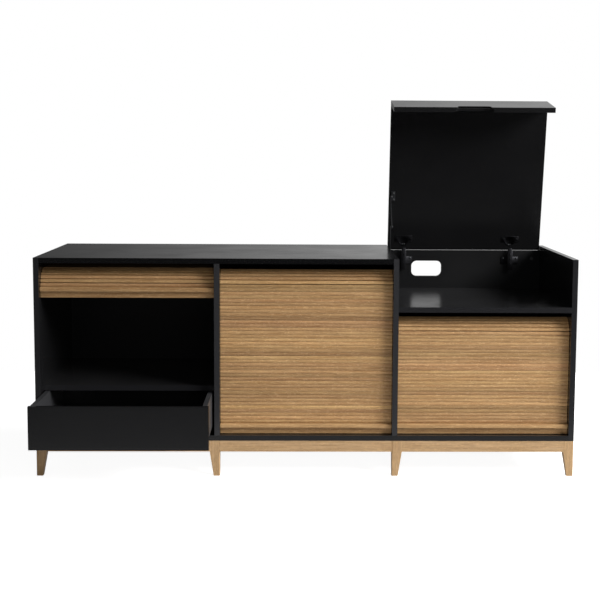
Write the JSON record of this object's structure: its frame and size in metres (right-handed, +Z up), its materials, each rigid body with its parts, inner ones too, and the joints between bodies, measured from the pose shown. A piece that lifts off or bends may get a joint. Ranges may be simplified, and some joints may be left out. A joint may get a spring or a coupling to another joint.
{
  "type": "credenza",
  "caption": "Low black credenza on an oak base, with sliding slatted oak tambour fronts, an inner drawer and a lift-up lid over a record-player well.",
  "frame": {"origin": "centre of the carcass's footprint, on the floor", "axes": "+X to the right along the front, +Y to the back, +Z up; the front faces -Y"},
  "size_m": [1.8, 0.812, 1.2702],
  "materials": {
    "black_lacquer": "satin black lacquer on board",
    "oak": "clear oiled oak",
    "tambour_cloth": "plain canvas",
    "slide_steel": "zinc plated",
    "stay_steel": "dark nickel plated",
    "hinge_steel": "black nickel",
    "screw_steel": "nickel plated",
    "block_plastic": "matt black"
  },
  "bodies": {
    "carcass": {"back_panel_cap": "block_plastic", "bottom_panel": "black_lacquer", "bridge_rails": "oak", "drawer_shelf": "black_lacquer", "hinge_arms": "hinge_steel", "hinge_mounting_plates": "hinge_steel", "left_back_panel": "black_lacquer", "left_divider": "black_lacquer", "left_frame_front_rail": "oak", "left_frame_leg_front_left": "oak", "left_frame_leg_front_right": "oak", "left_frame_leg_rear_left": "oak", "left_frame_leg_rear_right": "oak", "left_frame_rear_rail": "oak", "left_frame_side_rails": "oak", "left_side_panel": "black_lacquer", "middle_back_panel": "black_lacquer", "right_back_panel": "black_lacquer", "right_divider": "black_lacquer", "right_frame_front_rail": "oak", "right_frame_leg_front_left": "oak", "right_frame_leg_front_right": "oak", "right_frame_leg_rear_left": "oak", "right_frame_leg_rear_right": "oak", "right_frame_rear_rail": "oak", "right_frame_side_rails": "oak", "right_side_panel": "black_lacquer", "slide_cabinet_members": "slide_steel", "stay_base": "stay_steel", "stay_base_pin": "stay_steel", "top_panel": "black_lacquer", "well_screws": "screw_steel", "well_shelf": "black_lacquer"},
    "lid": {"lid_panel": "black_lacquer", "lid_fascia": "black_lacquer", "lid_corner_blocks": "block_plastic", "hinge_cups": "hinge_steel", "lid_screws": "screw_steel", "stay_lid_bracket": "stay_steel", "stay_lid_pin": "stay_steel"},
    "stay_lower": {"stay_lower_arm": "stay_steel", "stay_elbow_pin": "stay_steel"},
    "stay_upper": {"stay_upper_arm": "stay_steel"},
    "drawer": {"drawer_front": "black_lacquer", "drawer_left_side": "black_lacquer", "drawer_right_side": "black_lacquer", "drawer_bottom": "black_lacquer", "drawer_back": "black_lacquer", "slide_drawer_members": "slide_steel"},
    "slide_middle": {"slide_middle_members": "slide_steel"},
    "left_tambour": {"left_tambour_pull_bar": "oak", "left_tambour_slats": "oak", "left_tambour_cloth": "tambour_cloth"},
    "middle_tambour": {"middle_tambour_pull_bar": "oak", "middle_tambour_slats": "oak", "middle_tambour_cloth": "tambour_cloth"},
    "right_tambour": {"right_tambour_pull_bar": "oak", "right_tambour_slats": "oak", "right_tambour_cloth": "tambour_cloth"}
  },
  "joints": [
    {"name": "lid_swing", "type": "hinge", "parent": "carcass", "child": "lid", "pos_m": [0.594, 0.274, 0.724], "axis": [-1, 0, 0], "range_deg": [-79.5, 0]},
    {"name": "stay_lower_swing", "type": "hinge", "parent": "carcass", "child": "stay_lower", "pos_m": [0.3105, 0.194, 0.617], "axis": [-1, 0, 0], "range_deg": [-79.5, 0]},
    {"name": "stay_upper_swing", "type": "hinge", "parent": "lid", "child": "stay_upper", "pos_m": [0.314, 0.21592, 0.91664], "axis": [-1, 0, 0], "range_deg": [0, 79.5]},
    {"name": "drawer_slide", "type": "slide", "parent": "carcass", "child": "drawer", "axis": [0, -1, 0], "range_m": [-0.25, 0.15]},
    {"name": "slide_middle_run", "type": "slide", "parent": "carcass", "child": "slide_middle", "axis": [0, -1, 0], "range_m": [-0.125, 0.075]},
    {"name": "left_tambour_run", "type": "slide", "parent": "carcass", "child": "left_tambour", "axis": [0, 0, 1], "range_m": [-0.31, 0], "deforming": ["left_tambour_slats", "left_tambour_cloth"]},
    {"name": "middle_tambour_run", "type": "slide", "parent": "carcass", "child": "middle_tambour", "axis": [0, 0, 1], "range_m": [0, 0.458], "deforming": ["middle_tambour_slats", "middle_tambour_cloth"]},
    {"name": "right_tambour_run", "type": "slide", "parent": "carcass", "child": "right_tambour", "axis": [0, 0, 1], "range_m": [0, 0.298], "deforming": ["right_tambour_slats", "right_tambour_cloth"]}
  ],
  "couplings": [
    {"joint": "stay_lower_swing", "follows": "lid_swing", "ratio": 1},
    {"joint": "stay_upper_swing", "follows": "lid_swing", "ratio": -1},
    {"joint": "slide_middle_run", "follows": "drawer_slide", "ratio": 0.5}
  ]
}
